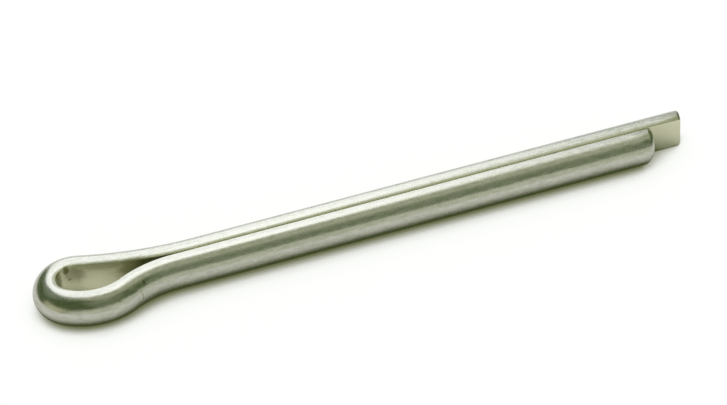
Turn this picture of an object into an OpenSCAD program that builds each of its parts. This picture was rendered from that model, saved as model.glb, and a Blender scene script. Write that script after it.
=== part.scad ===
// Cotter pin, also called a split pin: one length of half-round wire, folded flat side
// inwards into a long eye and two prongs of unequal length, sheared off at a slight slant.
//
// It lies on its side on the plane z = 0. +X runs along the prongs to their cut ends,
// +Y points to the left prong and +Z up. The origin is under the middle of the pin.

/* [Wire] */
// Width of the half-round wire, which is the height of the pin as it lies
wire_w = 2.25; // [1.8:0.05:2.6]
// Thickness of the wire, from its flat side to the crown of its round side
wire_t = 1.52; // [1.2:0.02:1.6]
// Rounding of the two edges along the flat side
edge_r = 0.18; // [0.08:0.01:0.24]

/* [Prongs] */
// Length of the left, longer prong, from the inside of the eye's closed end to its cut end
long_l = 40.7; // [20:0.1:80]
// How far the right prong stops short of the left one
prong_step = 2.2; // [0:0.1:6]
// Gap between the prongs at the cut ends
tip_gap = 0.04; // [0.02:0.01:0.1]
// Lean of each prong towards the other, in degrees
toe_in = 0.06; // [0.02:0.01:0.1]

/* [Cut ends] */
// Slant of both cuts across the pin, in degrees from square
cut_slant = 13; // [0:1:20]
// Bevel round the outer edge of the long prong's cut
long_bevel = 0.08; // [0.05:0.01:0.3]
// Bevel round the outer edge of the short prong's cut
short_bevel = 0.2; // [0.05:0.01:0.3]
// Height up to which the short prong is clipped back
clip_h = 1.4; // [0.6:0.1:1.8]
// How far it is clipped back at the bottom
clip_l = 0.6; // [0.1:0.05:0.8]

/* [Eye] */
// Widest opening of the eye
eye_w = 2.5; // [2.4:0.05:3.2]
// Inside radius of the closed end
end_r = 1.05; // [0.9:0.05:1.2]
// Turn of the closed end on the left, before the side of the eye takes over
left_turn = 81; // [70:1:85]
// Turn of the closed end on the right
right_turn = 53; // [50:1:60]
// Inside radius of the eye's left side
left_side_r = 1.3; // [1.2:0.1:3]
// Radius of the long, easy neck on the left
left_neck_r = 24.5; // [10:0.5:30]
// Radius of the tighter neck on the right
right_neck_r = 7.3; // [4:0.1:8]

/* [Hidden] */
$fn = 120;

// radii and angles are worked out to a thousandth, so that each arc ends where the next begins
function thousandth(v) = round(1000 * v) / 1000;

// the section is a circle, centred inside the wire and cut off by the flat side
crown_r = wire_w / 2;
crown_x = wire_t - crown_r;
// where each rounded edge is centred, and the way from the crown's centre to it
lip = [edge_r, sqrt(pow(crown_r - edge_r, 2) - pow(edge_r - crown_x, 2))];
lip_way = (lip - [crown_x, 0]) / (crown_r - edge_r);

// the slant makes the round side of the left prong its farthest point
reach_l = long_l + (crown_r - long_bevel) * sin(cut_slant);

// the closed end is centred to one side, so that both sides reach eye_w / 2
end_y = thousandth(eye_w / 2 - end_r * sin(left_turn) - left_side_r * (1 - sin(left_turn)));
right_side_r = thousandth((eye_w / 2 + end_y - end_r * sin(right_turn)) / (1 - sin(right_turn)));

module sharp_edge() {
    // what rounding one edge takes off
    difference() {
        polygon([[-wire_w, lip.y], lip, lip + wire_w * lip_way, [-wire_w, lip.y + wire_w]]);
        translate(lip) circle(r = edge_r);
    }
}
module wire_section() {
    // flat side on x = 0, crown towards +x
    difference() {
        translate([crown_x, 0]) circle(r = crown_r);
        translate([-wire_w, -wire_w]) square([wire_w, 2 * wire_w]);
        sharp_edge();
        mirror([0, 1]) sharp_edge();
    }
}
module bend(inside_r, from, turn) {
    // flat side inwards, anticlockwise from an angle
    rotate_extrude(angle = turn, start = from) translate([inside_r, 0]) wire_section();
}
module back_bend(outside_r, from, turn) {
    // flat side outwards
    rotate_extrude(angle = turn, start = from) translate([outside_r, 0]) mirror([1, 0]) wire_section();
}
module at(place) {
    // in a long step and a short one, which keeps the place exact
    long_step = [round(100 * place.x), round(100 * place.y)] / 100;
    translate(long_step) translate(place - long_step) children();
}
module offcut(side, length, bevel, clip) {
    // what the shears take off a prong: all past the slanted cut, a clip off the bottom of
    // it and the bevel round its outer edge
    spare = 2 * wire_w;
    translate([length, side * (tip_gap / 2 + crown_x), 0]) rotate(-cut_slant) {
        rotate([90, 0, 0]) translate([0, 0, -spare]) linear_extrude(height = 2 * spare)
            polygon([[0, spare], [0, clip_h - crown_r], [-clip, -crown_r], [-clip, -spare],
                     [spare, -spare], [spare, spare]]);
        rotate([0, 90, 0]) rotate_extrude()
            polygon([[crown_r - bevel, 0], [crown_r + bevel, 0], [crown_r + bevel, -2 * bevel]]);
    }
}
module half_pin(centre_y, end_turn, side_r, neck_r, length) {
    // one half of the fold, seen from the closed end's centre with its prong along +x, which
    // is left a wire's thickness too long for the shears
    way = 180 + toe_in - end_turn;
    side_c = (end_r - side_r) * [cos(way), sin(way)];
    prong_y = (tip_gap / 2 - centre_y) * cos(toe_in) + (long_l - end_r) * sin(toe_in);
    slope = thousandth(acos((prong_y + neck_r - side_c.y) / (side_r + neck_r)));
    neck_c = side_c + (side_r + neck_r) * [sin(slope), cos(slope)];

    translate([end_r, centre_y, 0]) rotate(-toe_in) {
        bend(end_r, way, end_turn);
        at(side_c) bend(side_r, 90 - slope, way + slope - 90);
        at(neck_c) back_bend(neck_r, 270 - slope, slope);
        at(neck_c - [0, neck_r]) rotate([90, 0, 90])
            linear_extrude(height = length + wire_t - end_r - neck_c.x) wire_section();
    }
}
module cotter_pin() {
    short_l = long_l - prong_step;
    color("silver") translate([(wire_t - reach_l) / 2, 0, wire_w / 2]) {
        difference() {
            half_pin(end_y, left_turn, left_side_r, left_neck_r, long_l);
            offcut(1, long_l, long_bevel, 0);
        }
        difference() {
            mirror([0, 1]) half_pin(-end_y, right_turn, right_side_r, right_neck_r, short_l);
            offcut(-1, short_l, short_bevel, clip_l);
        }
    }
}
cotter_pin();
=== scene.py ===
# %% [markdown]
# # A cotter pin of half-round stainless wire
# A cotter pin starts as a straight wire with a D-shaped section. It is folded in two round
# a former, flat side inwards, so that the two prongs together make one round shank.
# The frame below is the solid model of that pin. It gives the place and the size, and this
# file gives the pin its satin, slightly stained steel, with some shade painted into its colour.

# %% Load the frame
import math
import bmesh
import bpy
from mathutils import Matrix, Vector


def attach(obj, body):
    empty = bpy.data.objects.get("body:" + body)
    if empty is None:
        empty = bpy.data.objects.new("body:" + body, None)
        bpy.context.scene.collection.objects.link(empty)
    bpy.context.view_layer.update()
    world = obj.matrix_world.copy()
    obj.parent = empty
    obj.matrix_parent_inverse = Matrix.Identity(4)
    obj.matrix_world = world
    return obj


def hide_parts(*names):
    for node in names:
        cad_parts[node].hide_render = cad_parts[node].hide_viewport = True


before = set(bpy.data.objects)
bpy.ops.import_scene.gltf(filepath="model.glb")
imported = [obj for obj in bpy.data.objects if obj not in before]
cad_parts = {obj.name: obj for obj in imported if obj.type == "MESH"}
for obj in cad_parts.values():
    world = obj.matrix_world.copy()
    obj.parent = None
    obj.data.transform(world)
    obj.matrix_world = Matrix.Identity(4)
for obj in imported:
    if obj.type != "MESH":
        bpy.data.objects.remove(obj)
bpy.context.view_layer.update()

MM = 0.001  # one millimetre, in Blender's metres

# %% [markdown]
# ## The camera
# The pin lies on a table and is seen from its side, turned a little towards its eye and
# from about forty degrees up. A long lens keeps the two prongs almost parallel. Turning the
# camera about its own line of sight tilts the pin in the render.

# %% Camera
PICTURE_WIDE = 727  # pixels, 405 high
FOCAL_PIXELS = 3075.8  # the lens's focal length, in pixels of the render
SENSOR_WIDE = 36.0  # mm
NEAREST = 0.01  # nothing closer to the camera than this is drawn, metres
VIEW_TURN = math.radians(15.894)  # towards the eye, from square-on to the pin
VIEW_UP = math.radians(41.020)
VIEW_ROLL = math.radians(-4.250)
VIEW_DISTANCE = 190.82 * MM
LOOKS_AT = Vector((0.145, 1.230, 1.125)) * MM

towards_camera = Vector((-math.sin(VIEW_TURN) * math.cos(VIEW_UP),
                         -math.cos(VIEW_TURN) * math.cos(VIEW_UP), math.sin(VIEW_UP)))
level = Vector((0, 0, 1)).cross(towards_camera).normalized()
upward = towards_camera.cross(level)
side = math.cos(VIEW_ROLL) * level + math.sin(VIEW_ROLL) * upward
top = math.cos(VIEW_ROLL) * upward - math.sin(VIEW_ROLL) * level

camera = bpy.data.objects.new("camera", bpy.data.cameras.new("camera"))
camera.data.sensor_width = SENSOR_WIDE
camera.data.lens = SENSOR_WIDE * FOCAL_PIXELS / PICTURE_WIDE
camera.data.clip_start = NEAREST
camera.matrix_world = (Matrix.Translation(LOOKS_AT + VIEW_DISTANCE * towards_camera)
                       @ Matrix((side, top, towards_camera)).transposed().to_4x4())
bpy.context.scene.collection.objects.link(camera)
bpy.context.scene.camera = camera
print("lens, mm:", round(camera.data.lens, 1))

# %% [markdown]
# ## The fold
# The wire's flat side follows one line in the plane of the table: down the long prong,
# through an easy neck, round the eye, and out through a tighter neck to the short prong.
# Bending machines make such a line from straight runs and plain arcs, so it is written
# here in the same way. Every place on it also keeps how far along the wire it is.

# %% Sizes of the wire and the prongs
# At the solid's sizes, the seam between the prongs comes out broader and darker. So the wire
# is 1.54 mm thick here and not 1.52, its edges are rounded by 0.08 mm and not 0.18, and the
# prongs are parallel, where the solid's lean together by 0.06 degrees each.
WIRE_WIDE, WIRE_THICK, EDGE_R = 2.25, 1.54, 0.08  # the section, mm
CROWN_R = WIRE_WIDE / 2  # radius of the round side
CROWN_X = WIRE_THICK - CROWN_R  # its centre, from the flat side
LONG, STEP = 40.7, 2.2  # the long prong, and how far the other stops short, mm
PRONG_GAP = 0.04  # between the flat sides of the two prongs, mm
CUT_SLANT = math.radians(13)  # of both cuts, from square
LONG_BEVEL, SHORT_BEVEL = 0.08, 0.2  # round the outer edge of each prong's cut, mm
REACH = LONG + (CROWN_R - LONG_BEVEL) * math.sin(CUT_SLANT)
START_X = (WIRE_THICK - REACH) / 2  # the inside of the closed end, in the frame
print("length, mm:", round(WIRE_THICK + REACH, 2), " shank, mm:", 2 * WIRE_THICK + PRONG_GAP)

# %% Sizes of the eye
EYE_WIDE = 2.5  # between the outermost places of the eye's two inner sides, mm
END_R = 1.05  # inside radius of the closed end, mm
LEFT_TURN, RIGHT_TURN = math.radians(81), math.radians(53)  # of the closed end on each side
LEFT_SIDE_R = 1.3  # inside radius of the eye's left side, mm
LEFT_NECK_R, RIGHT_NECK_R = 24.5, 7.3  # an easy neck on the left and a tight one, mm
# The closed end sits off the middle, so that both sides reach half of the eye's width.
END_Y = (EYE_WIDE / 2 - END_R * math.sin(LEFT_TURN)
         - LEFT_SIDE_R * (1 - math.sin(LEFT_TURN)))
RIGHT_SIDE_R = ((EYE_WIDE / 2 + END_Y - END_R * math.sin(RIGHT_TURN))
                / (1 - math.sin(RIGHT_TURN)))
print("right side's inside radius, mm:", round(RIGHT_SIDE_R, 2))

# %% Arcs and straight runs
ARC_STEP = 0.04  # length of one short piece of an arc, mm
RUN_STEP = 0.3  # length of one short piece of a straight run, mm
END_ROOM = 1.2  # the run stops this far short of a cut end, which has its own rings, mm


def arc(centre, radius, start, stop, outward):
    """Places along an arc, each with the way from the flat side to the round side."""
    count = round(abs(stop - start) * (radius + WIRE_THICK / 2) / ARC_STEP)
    for i in range(count):
        a = start + (stop - start) * i / count
        ray = Vector((math.cos(a), math.sin(a)))
        yield centre + radius * ray, outward * ray


def half(centre_y, length, turn, side_r, neck_r):
    """One half of the fold, from the middle of the closed end almost to the prong's cut end."""
    way = math.pi - turn
    side_c = (END_R - side_r) * Vector((math.cos(way), math.sin(way)))
    prong_y = PRONG_GAP / 2 - centre_y
    slope = math.acos((prong_y + neck_r - side_c.y) / (side_r + neck_r))
    neck_c = side_c + (side_r + neck_r) * Vector((math.sin(slope), math.cos(slope)))
    places = [*arc(Vector((0, 0)), END_R, math.pi, way, 1),
              *arc(side_c, side_r, way, math.pi / 2 - slope, 1),
              *arc(neck_c, neck_r, 1.5 * math.pi - slope, 1.5 * math.pi, -1)]
    run = length - END_ROOM - END_R - neck_c.x
    count = round(run / RUN_STEP)
    for i in range(count + 1):
        places.append((Vector((neck_c.x + run * i / count, neck_c.y - neck_r)), Vector((0, 1))))
    shift = Vector((END_R + START_X, centre_y))
    return [(p + shift, n) for p, n in places]


# %% Line of the fold
left_half = half(END_Y, LONG, LEFT_TURN, LEFT_SIDE_R, LEFT_NECK_R)
right_half = [(Vector((p.x, -p.y)), Vector((n.x, -n.y)))
              for p, n in half(-END_Y, LONG - STEP, RIGHT_TURN, RIGHT_SIDE_R, RIGHT_NECK_R)]
fold = left_half[::-1] + right_half[1:]
along = [0.0]
for (p, _), (q, _) in zip(fold, fold[1:]):
    along.append(along[-1] + (q - p).length)
along = [s - along[len(left_half) - 1] for s in along]  # counted from the middle of the fold
print("places on the fold:", len(fold),
      " wire used, mm:", round(along[-1] - along[0] + 2 * END_ROOM, 1))

# %% [markdown]
# ## The section
# Half-round wire is drawn through a D-shaped die. Here it is a bit more than half of a
# circle, cut off by the flat side, and the die leaves the two edges softly rounded.
# A few places close to each edge keep the shading of the flat side flat.

# %% Section of the wire
LIP = Vector((EDGE_R, math.sqrt((CROWN_R - EDGE_R) ** 2 - (EDGE_R - CROWN_X) ** 2)))
LIP_TURN = math.atan2(LIP.y, LIP.x - CROWN_X)  # where the rounded edge meets the crown
FLAT_PLACES = [0.0, 0.3, 0.6, 0.85, 0.96, 1.0]  # up the flat side, as shares of its half
LIP_PIECES, CROWN_PIECES = 8, 30


def section():
    """Places round the section as (distance from the flat side, height), mm."""
    upper = [Vector((0, LIP.y * s)) for s in FLAT_PLACES]
    for i in range(1, LIP_PIECES + 1):
        a = math.pi + (LIP_TURN - math.pi) * i / LIP_PIECES
        upper.append(LIP + EDGE_R * Vector((math.cos(a), math.sin(a))))
    for i in range(1, CROWN_PIECES + 1):
        a = LIP_TURN * (1 - i / CROWN_PIECES)
        upper.append(Vector((CROWN_X + CROWN_R * math.cos(a), CROWN_R * math.sin(a))))
    lower = [Vector((p.x, -p.y)) for p in upper[-2:0:-1]]
    return upper + lower


ring = section()
print("places round the section:", len(ring))

# %% [markdown]
# ## The cut ends
# Shears cut the prongs at a slant, and tumbling in grit leaves a bevel round the cut.
# The shears also clipped the bottom of the short prong. Each of the three is a plain
# surface, so a cut end is a height over the section: the lowest of the three, rounded
# a little where it meets the side of the wire.

# %% Shape of a cut end
CLIP_HIGH, CLIP_LONG = 1.4, 0.6  # the clip on the short prong, mm
ROUND_R = 0.13  # between the cut and the side of the wire, mm; the solid has only its bevels
ROUND_RINGS = 5
CAP_SHARES = (0.2, 0.24, 0.28, 0.33, 0.4, 0.5, 0.65, 0.82)  # where rings lie on the way in
OFF_MIDDLE = 0.05  # the rings close in on a place this much nearer the flat side, mm
MIDDLE = Vector((WIRE_THICK / 2 - OFF_MIDDLE, 0))


def cut_height(p, side, bevel, clip):
    """How far past the prong's end the cut is at one place of the section, mm."""
    y = side * (p.x - CROWN_X)
    cuts = [0.0, (CROWN_R - bevel) - math.hypot(y / math.cos(CUT_SLANT), p.y)]
    if clip:
        cuts.append(-CLIP_LONG * (CLIP_HIGH - CROWN_R - p.y) / CLIP_HIGH)
    return min(cuts) / math.cos(CUT_SLANT) + y * math.tan(CUT_SLANT)


def end_rings():
    """Rings of a cut end: share of the way to the middle, and set back from the cut, mm."""
    rings = []
    for i in range(ROUND_RINGS + 1):
        a = math.pi / 2 * i / ROUND_RINGS
        share = ROUND_R * (1 - math.cos(a)) / (WIRE_THICK / 2)
        rings.append((share, ROUND_R * (1 - math.sin(a))))
    return rings + [(share, 0.0) for share in CAP_SHARES]


print("rings of a cut end:", len(end_rings()))

# %% [markdown]
# ## The skin of the wire
# Drawn wire keeps one section from end to end. So its skin is that section set at every
# place on the fold, with faces between one ring and the next, and the two ends close ring
# by ring. A sweep along a curve would make the same skin, but wouldn't say where each place
# was on the straight wire. Grain and stains need that, so that they follow the bends.

# %% Vertices of a ring and of a cut end
STRAIGHT = "straight_wire"  # where each place was on the wire before it was folded, mm
verts, straight, faces = [], [], []


def add_vertex(place, outward, p, s):
    flat = place + outward * p.x
    verts.append((flat.x * MM, flat.y * MM, (p.y + WIRE_WIDE / 2) * MM))
    straight.append((s, p.x, p.y))


def add_end(place, outward, ahead, s, way, side, bevel, clip):
    """The rings of a cut end, from the side of the wire to the middle of the cut."""
    rings = []
    for share, back in end_rings() + [(1.0, 0.0)]:
        start = len(verts)
        shape = ring if share < 1 else [MIDDLE]
        for p in shape:
            q = p + (MIDDLE - p) * share
            push = END_ROOM + cut_height(q, side, bevel, clip) - back
            add_vertex(place + ahead * push, outward, q, s + way * push)
        rings.append(start)
    return rings


def tangent(outward):
    """The way along the prong, from the eye to its cut end."""
    return Vector((abs(outward.y), -outward.x * math.copysign(1, outward.y)))


around = len(ring)
(p, n), (q, m) = fold[0], fold[-1]  # the last places before the long and the short cut end
long_end = add_end(p, n, tangent(n), along[0], -1, 1, LONG_BEVEL, False)
print("vertices of the long end:", len(verts))

# %% Rings along the fold
first = len(verts)
for (place, outward), s in zip(fold, along):
    for corner in ring:
        add_vertex(place, outward, corner, s)
starts = long_end[-2::-1] + [first + i * around for i in range(len(fold))]
short_end = add_end(q, m, tangent(m), along[-1], 1, -1, SHORT_BEVEL, True)
starts += short_end[:-1]
print("rings:", len(starts), " vertices:", len(verts))

# %% Faces of the skin
for a, b in zip(starts, starts[1:]):
    for k in range(around):
        j = (k + 1) % around
        faces.append((a + k, a + j, b + j, b + k))
for a, tip, way in ((starts[0], long_end[-1], 1), (starts[-1], short_end[-1], -1)):
    for k in range(around):
        j = (k + 1) % around
        faces.append((tip, a + j, a + k)[::way])
print("faces:", len(faces))

# %% The piece
mesh = bpy.data.meshes.new("folded_wire")
mesh.from_pydata(verts, [], faces)
mesh.validate()
layer = mesh.attributes.new(STRAIGHT, "FLOAT_VECTOR", "POINT")
layer.data.foreach_set("vector", [c for v in straight for c in v])
mesh.shade_smooth()
mesh.update()
pin = bpy.data.objects.new("folded_wire", mesh)
bpy.context.scene.collection.objects.link(pin)
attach(pin, "root")
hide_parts("cotter_pin")

# %% Turn the skin outwards and test it
check = bmesh.new()
check.from_mesh(mesh)
if check.calc_volume(signed=True) < 0:
    bmesh.ops.reverse_faces(check, faces=check.faces)
    check.to_mesh(mesh)
print("volume, cubic mm:", round(check.calc_volume() / MM ** 3, 1),
      " faces:", len(check.faces),
      " open edges:", sum(1 for e in check.edges if not e.is_manifold))
check.free()

# %% [markdown]
# ## Colour and nodes
# Colours are written as a colour picker shows them, and one function turns them to the
# linear values that the renderer works in. One more adds a node to a material.

# %% Helpers for the materials


def linear(code):
    """An sRGB hex colour as linear red, green, blue and alpha."""
    parts = [int(code[i:i + 2], 16) / 255 for i in (1, 3, 5)]
    return [c / 12.92 if c <= 0.04045 else ((c + 0.055) / 1.055) ** 2.4 for c in parts] + [1.0]


def add(tree, kind, inputs=None, **settings):
    """A node of that kind, with its settings and its inputs: values, or sockets to link."""
    made = tree.nodes.new(kind)
    for name, value in settings.items():
        setattr(made, name, value)
    for name, value in (inputs or {}).items():
        if isinstance(value, bpy.types.NodeSocket):
            tree.links.new(value, made.inputs[name])
        else:
            made.inputs[name].default_value = value
    return made


def new_material(name):
    material = bpy.data.materials.new(name)
    material.use_nodes = True
    material.node_tree.nodes.clear()
    return material, material.node_tree


print("mid grey in linear light:", round(linear("#808080")[0], 3))

# %% [markdown]
# ## Stainless steel, drawn and tumbled
# Half-round wire of 18/8 stainless steel leaves the die with fine lines along its length.
# Tumbling in grit softens them to a satin, which the eye sees as blurred reflections with a
# slight grain. The flat side lay against the former and saw little of the grit, so it stays
# duller and a shade warmer than the round side.

# %% Patterns on the wire
# Real drawing lines are about 0.02 mm apart and grit marks about 0.05 mm wide. A pixel of the
# render covers 0.06 mm, so both are drawn several times coarser: as coarse as they need to be
# to show.
GRAIN = (4.0, 9.0, 9.0)  # drawing lines to a millimetre, along and across the wire
SPOTS = (2.0, 5.5, 5.5)  # tumbling marks to a millimetre
SPOT_LEVELS = (0.3, 0.7)  # of the noise: no mark, and a full one
FINER, FINER_SHARE = 2.0, 0.6  # layers of finer noise, and how strong each is beside the last
FLAT_ENDS = 0.15  # the dull finish reaches this far up the rounded edges, mm
steel, tree = new_material("drawn_stainless_steel")
wire_mm = add(tree, "ShaderNodeAttribute", attribute_name=STRAIGHT).outputs["Vector"]
depth = add(tree, "ShaderNodeSeparateXYZ", {0: wire_mm}).outputs["Y"]


def mottle(scale):
    """Noise on the unbent wire, so that it follows the fold; its scale is in marks to a mm."""
    place = add(tree, "ShaderNodeVectorMath", {0: wire_mm, 1: scale}, operation="MULTIPLY")
    return add(tree, "ShaderNodeTexNoise", {"Vector": place.outputs["Vector"], "Scale": 1.0,
                                            "Detail": FINER,
                                            "Roughness": FINER_SHARE}).outputs["Fac"]


def between(level, start, stop, at_start, at_stop):
    """A level turned from one range to another, and held at its ends."""
    return add(tree, "ShaderNodeMapRange", {"Value": level, "From Min": start, "From Max": stop,
                                            "To Min": at_start,
                                            "To Max": at_stop}).outputs["Result"]


def blend(share, first, second):
    """Two colours blended. A mix node's colours are its inputs 6 and 7 and its output 2."""
    return add(tree, "ShaderNodeMix", {0: share, 6: first, 7: second},
               data_type="RGBA").outputs[2]


spots = mottle(SPOTS)
flat = between(depth, 0.0, FLAT_ENDS, 1.0, 0.0)
print("drawn lines across, mm:", round(1 / GRAIN[1], 2), " marks, mm:", round(1 / SPOTS[1], 2))

# %% Tarnish and painted shade
# Some rows are stains, which lie where tumbling reaches least: dark marks on the eye's inner
# wall by the closed end, and small marks on the round side by the short prong's neck. The
# others are painted shade: the darker top and the shaded wedge of the eye's inner wall towards
# the long prong's neck, a deeper dark band where the round side of the eye's near half mirrors
# the dim room, and a faint darkening of the long prong's flat side at its end. Each row is a
# middle and a spread in mm (along from the middle of the fold, away from the flat side, and
# up), and how dark the place is.
TARNISH_AND_PAINTED_SHADE = (
    # stains: dark marks on the eye's inner wall by the closed end
    ((-1.90, 0.0, 0.40), (0.75, 0.3, 0.65), 0.45),
    ((-1.43, 0.0, 0.80), (0.26, 0.3, 0.36), 0.90),
    ((-1.45, 0.0, 0.35), (0.11, 0.3, 0.22), 0.60),
    ((-1.57, 0.0, 0.06), (0.17, 0.3, 0.12), 0.75),
    ((-0.70, 0.0, 0.40), (0.38, 0.3, 0.80), 0.60),
    # painted shade: the darker top of the inner wall, then its shaded wedge at the long prong's
    # neck
    ((-3.90, 0.0, 0.95), (1.90, 0.3, 0.42), 0.40),
    ((-5.60, 0.0, 0.60), (1.10, 0.3, 1.50), 0.55),
    # painted shade: a faint darkening of the long prong's flat side at its end, where it mirrors
    # the card
    ((-42.0, 0.0, 0.00), (4.50, 0.3, 3.00), 0.12),
    # painted shade: deepens the dark band, the dim room mirrored on the round side of the eye's
    # near half
    ((2.70, 1.1, 0.82), (2.40, 0.6, 0.32), 0.20),
    # stains: small marks on the round side by the short prong's neck
    ((4.88, 1.3, 0.20), (0.09, 0.9, 0.36), 0.40),
    ((5.40, 1.2, 0.84), (0.14, 0.9, 0.13), 0.60),
    ((3.60, 1.3, 0.70), (0.12, 0.9, 0.12), 0.50),
)
FADE = (0.5, 1.2)  # a stain or a patch of painted shade is full within the first share of its spread, and gone at the second
UNEVEN = 0.2  # how far the marks push that edge in and out, as a share of the spread
uneven = between(spots, *SPOT_LEVELS, -UNEVEN, UNEVEN)


def darkened_place_at(middle, spread, dark):
    """One darkened place, a stain or a patch of painted shade, fading out towards its uneven edge.
    """
    way = add(tree, "ShaderNodeVectorMath", {0: wire_mm, 1: middle}, operation="SUBTRACT")
    way = add(tree, "ShaderNodeVectorMath", {0: way.outputs["Vector"],
                                             1: [1 / r for r in spread]}, operation="MULTIPLY")
    way = add(tree, "ShaderNodeVectorMath", {0: way.outputs["Vector"]}, operation="LENGTH")
    way = add(tree, "ShaderNodeMath", {0: way.outputs["Value"], 1: uneven}, operation="ADD")
    return between(way.outputs["Value"], *FADE, dark, 0.0)


tarnish_and_painted_shade = 0.0
for place in TARNISH_AND_PAINTED_SHADE:
    tarnish_and_painted_shade = add(tree, "ShaderNodeMath", {0: darkened_place_at(*place), 1: tarnish_and_painted_shade},
                  operation="MAXIMUM").outputs["Value"]
# counts the stains and the patches of painted shade together
print("tarnished places:", len(TARNISH_AND_PAINTED_SHADE))

# %% Stainless steel
ROUND_COLOURS = ("#ADB0A2", "#C6C5BC")  # between the tumbling marks, and in them
FLAT_COLOUR = "#DADAC0"
# the colour of the stains, also used for the painted shade
TARNISH_AND_SHADE_COLOUR = "#5F642E"
ROUND_ROUGH, FLAT_ROUGH = 0.24, 0.36  # satin, and duller where the grit hardly reached
MARKS_ROUGH = (-0.03, 0.05)  # what is added to either between the marks, and in them
GRAIN_DEEP, GRAIN_STRENGTH = 0.012, 0.22  # depth in mm, and how strongly it tilts the light

rounded = blend(between(spots, *SPOT_LEVELS, 0.0, 1.0), *map(linear, ROUND_COLOURS))
clean = blend(flat, rounded, linear(FLAT_COLOUR))
# the stains and the painted shade darken the steel's colour towards olive
colour = blend(tarnish_and_painted_shade, clean, linear(TARNISH_AND_SHADE_COLOUR))
dullness = add(tree, "ShaderNodeMath", {
    0: between(flat, 0.0, 1.0, ROUND_ROUGH, FLAT_ROUGH),
    1: between(spots, *SPOT_LEVELS, *MARKS_ROUGH)}, operation="ADD")
bump = add(tree, "ShaderNodeBump", {"Height": mottle(GRAIN), "Strength": GRAIN_STRENGTH,
                                    "Distance": GRAIN_DEEP * MM})
surface = add(tree, "ShaderNodeBsdfPrincipled", {
    "Base Color": colour, "Metallic": 1.0, "Roughness": dullness.outputs["Value"],
    "Normal": bump.outputs["Normal"]})
add(tree, "ShaderNodeOutputMaterial", {"Surface": surface.outputs["BSDF"]})
mesh.materials.append(steel)
print("nodes of the steel:", len(tree.nodes))

# %% [markdown]
# ## The table
# A sheet of uncoated white card, which is matt and is drawn as plain white. Close to the
# pin less of the room reaches it, so it darkens to an olive grey under the wire. How open
# the card is to the room gives that shade. Steel mirrors the card at a low angle, where its
# shade looks deeper. It is filled in where light is thrown between the two sides of the
# eye, and faintly by the cut ends.

# %% Shades of the card
OPEN_REACH = 20 * MM  # things nearer than this shade the card
OPEN_SAMPLES = 8
SEEN_SHADE = ((0.08, "#3A3B10"), (0.2, "#6C6F46"), (0.35, "#8E917A"), (0.45, "#B6B7AE"),
              (0.53, "#DCDDD8"), (0.6, "#F1F3EE"), (0.7, "#F8FBF7"), (0.85, "#FFFFFF"))
BRIGHTER_WAY = (0.33, 0.12, 1.0)  # the room is brighter behind the cut ends than by the eye
MIRRORED_SHADE = ((0.45, "#4C5733"), (0.57, "#66704F"), (0.67, "#777B66"), (0.76, "#BABBB0"),
                  (0.84, "#DADBD2"), (0.92, "#E8E9E3"), (1.0, "#F6F6F3"))
EYE_SHADE = ((0.1, "#4A4B22"), (0.24, "#808164"), (0.328, "#D8D8C4"), (0.41, "#FFFFFF"))
FILLED = (  # middle and spread, mm, and how much
    ((START_X + 1.9, 0.0), (2.9, 1.5), 1.0),  # in the eye
    ((START_X + 40.6, -0.8), (1.7, 1.3), 0.2),  # by the cut ends
)
FILLED_EDGE = (0.75, 1.05)  # full within the first share of its spread, and gone at the second

white, tree = new_material("white_card")


def shades(level, stops):
    """A colour for each level, from stops of (level, colour)."""
    made = add(tree, "ShaderNodeValToRGB", {"Fac": level})
    steps = made.color_ramp.elements
    steps[0].position, steps[1].position = stops[0][0], stops[-1][0]
    for place, _ in stops[1:-1]:
        steps.new(place)
    for step, (_, code) in zip(steps, stops):
        step.color = linear(code)
    return made.outputs["Color"]


openness = add(tree, "ShaderNodeAmbientOcclusion", {
    "Distance": OPEN_REACH, "Normal": Vector(BRIGHTER_WAY).normalized()},
    samples=OPEN_SAMPLES).outputs["AO"]
place = add(tree, "ShaderNodeNewGeometry").outputs["Position"]
filled = 0.0
for middle, spread, much in FILLED:
    way = add(tree, "ShaderNodeVectorMath", {0: place, 1: [c * MM for c in middle] + [0.0]},
              operation="SUBTRACT").outputs["Vector"]
    way = add(tree, "ShaderNodeVectorMath", {0: way, 1: [1 / (r * MM) for r in spread] + [0.0]},
              operation="MULTIPLY").outputs["Vector"]
    way = add(tree, "ShaderNodeVectorMath", {0: way}, operation="LENGTH").outputs["Value"]
    filled = add(tree, "ShaderNodeMath", {0: between(way, *FILLED_EDGE, much, 0.0), 1: filled},
                 operation="MAXIMUM").outputs["Value"]
seen_shade = shades(openness, SEEN_SHADE)
mirrored_shade = blend(filled, shades(openness, MIRRORED_SHADE), shades(openness, EYE_SHADE))
print("stops seen, mirrored and in the eye:", len(SEEN_SHADE), len(MIRRORED_SHADE), len(EYE_SHADE))

# %% Card
CARD = "#F8F8F8"
GLOW = 1.07  # a little over plain white, because the camera sees only a part of it
SEEN_GLOW = 0.9  # that part. The rest is the card as the lamps light it
# To the camera, and mirrored in the steel, the card glows in its shades. For all other light
# it is a plain matt card.
path = add(tree, "ShaderNodeLightPath")
in_steel = path.outputs["Is Glossy Ray"]
card = add(tree, "ShaderNodeBsdfDiffuse", {"Color": linear(CARD)})
glow = add(tree, "ShaderNodeEmission", {"Color": blend(in_steel, seen_shade, mirrored_shade),
                                        "Strength": GLOW})
looked_at = add(tree, "ShaderNodeMath", {0: path.outputs["Is Camera Ray"], 1: in_steel},
                operation="MAXIMUM").outputs["Value"]
share = add(tree, "ShaderNodeMath", {0: between(in_steel, 0.0, 1.0, SEEN_GLOW, 1.0),
                                     1: looked_at}, operation="MULTIPLY").outputs["Value"]
floor = add(tree, "ShaderNodeMixShader", {0: share, 1: card.outputs["BSDF"],
                                          2: glow.outputs["Emission"]})
add(tree, "ShaderNodeOutputMaterial", {"Surface": floor.outputs["Shader"]})
print("nodes of the card:", len(tree.nodes))

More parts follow.
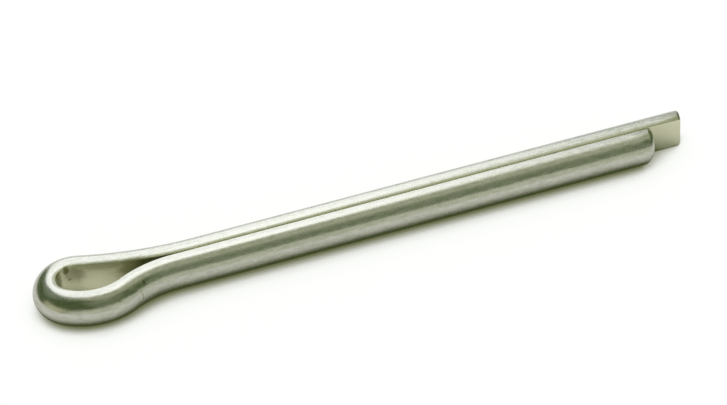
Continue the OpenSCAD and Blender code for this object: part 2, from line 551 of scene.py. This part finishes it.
# %% Table
TABLE_HALF = 1.5  # metres
table = bpy.data.objects.new("table", bpy.data.meshes.new("table"))
corners = [(x * TABLE_HALF, y * TABLE_HALF, 0.0) for x, y in ((-1, -1), (1, -1), (1, 1), (-1, 1))]
table.data.from_pydata(corners, [], [(0, 1, 2, 3)])
bpy.context.scene.collection.objects.link(table)
table.data.materials.append(white)
print("table, metres:", 2 * TABLE_HALF)

# %% [markdown]
# ## The light
# Steel shows what is around it, so the lamps are placed for what they draw on the wire. A
# tall soft lamp behind the pin whitens its top edge. The pale band along its flank is mostly
# the white card, mirrored: the low wide lamp in front only lights that band's upper edge at
# the eye's end. The dim green room between them leaves the dark band.

# %% Room
ROOM = "#62724C"
world = bpy.data.worlds.new("room")
bpy.context.scene.world = world
world.use_nodes = True
world.node_tree.nodes["Background"].inputs["Color"].default_value = linear(ROOM)
world.node_tree.nodes["Background"].inputs["Strength"].default_value = 1.0
print("room in linear light:", [round(c, 3) for c in linear(ROOM)[:3]])

# %% Lamps
LAMP_AWAY = 0.8  # metres from the pin
# Each lamp is turned from +Y towards +X and raised, in degrees. Then come its width and height
# in metres, its radiance and its colour.
LAMPS = {
    "far": (6, 36, 0.32, 1.00, 1.85, "#F4F3FF"),
    "far_left": (318, 52, 0.50, 0.50, 0.15, "#FFFFFF"),
    "far_right": (26, 36, 0.26, 1.00, 0.64, "#F4F3FF"),
    "right": (66, 46, 0.9, 0.42, 0.35, "#FFFBDF"),
    "top": (60, 78, 0.56, 0.50, 0.48, "#FFF9EC"),
    "front_high": (168, 66, 0.46, 0.30, 0.24, "#FFFFF4"),
    "front_middle": (160, 43, 0.6, 0.26, 0.16, "#FFFFF4"),
    "front_low": (174, 15, 2.3, 0.42, 0.65, "#FFFCF4"),
    "left_low": (258, 15, 0.7, 0.42, 0.55, "#FFF4DC"),
}

for name, (turned, raised, wide, high, radiance, colour) in LAMPS.items():
    lamp = bpy.data.lights.new(name, "AREA")
    lamp.shape = "RECTANGLE"
    lamp.size, lamp.size_y = wide, high
    lamp.energy = radiance * math.pi * wide * high
    lamp.color = linear(colour)[:3]
    holder = bpy.data.objects.new(name, lamp)
    turned, raised = math.radians(turned), math.radians(raised)
    ray = Vector((math.sin(turned) * math.cos(raised), math.cos(turned) * math.cos(raised),
                  math.sin(raised)))
    holder.location = LAMP_AWAY * ray
    holder.rotation_mode = "QUATERNION"
    holder.rotation_quaternion = ray.to_track_quat("Z", "Y")
    bpy.context.scene.collection.objects.link(holder)
print("lamps:", ", ".join(LAMPS))

# colours come out as they are written, without a film look
bpy.context.scene.view_settings.view_transform = "Standard"
